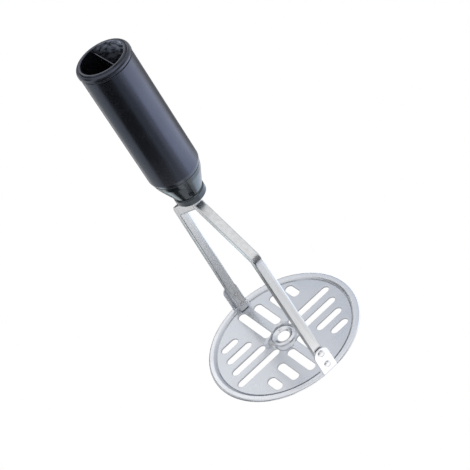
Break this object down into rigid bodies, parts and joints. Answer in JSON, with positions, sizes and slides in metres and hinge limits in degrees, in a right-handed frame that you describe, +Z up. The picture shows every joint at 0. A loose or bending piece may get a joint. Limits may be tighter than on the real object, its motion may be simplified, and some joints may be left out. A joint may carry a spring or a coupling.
{
  "type": "hand masher",
  "caption": "Hand masher: slotted round press plate on two bent strap legs, riveted to upright ears, with a hollow black moulded grip on a conical neck.",
  "frame": {"origin": "centre of the press plate's flat underside, on the surface the tool stands on", "axes": "+Z up the grip's axis towards its open end; the two legs stand in the XZ plane"},
  "size_m": [0.0958, 0.095, 0.2216],
  "materials": {
    "plate_steel": "satin pressed stainless steel",
    "leg_steel": "brushed stainless steel along the length",
    "rivet_steel": "bright headed steel",
    "grip_plastic": "black moulded, semi-gloss",
    "neck_plastic": "black moulded, gloss"
  },
  "bodies": {
    "root": {"press_plate": "plate_steel", "leg_strap_right": "leg_steel", "leg_strap_left": "leg_steel", "rivet_right_lower": "rivet_steel", "rivet_right_upper": "rivet_steel", "rivet_left_lower": "rivet_steel", "rivet_left_upper": "rivet_steel", "tang_pin": "rivet_steel", "neck_core": "neck_plastic", "grip_sleeve": "grip_plastic"}
  },
  "joints": []
}
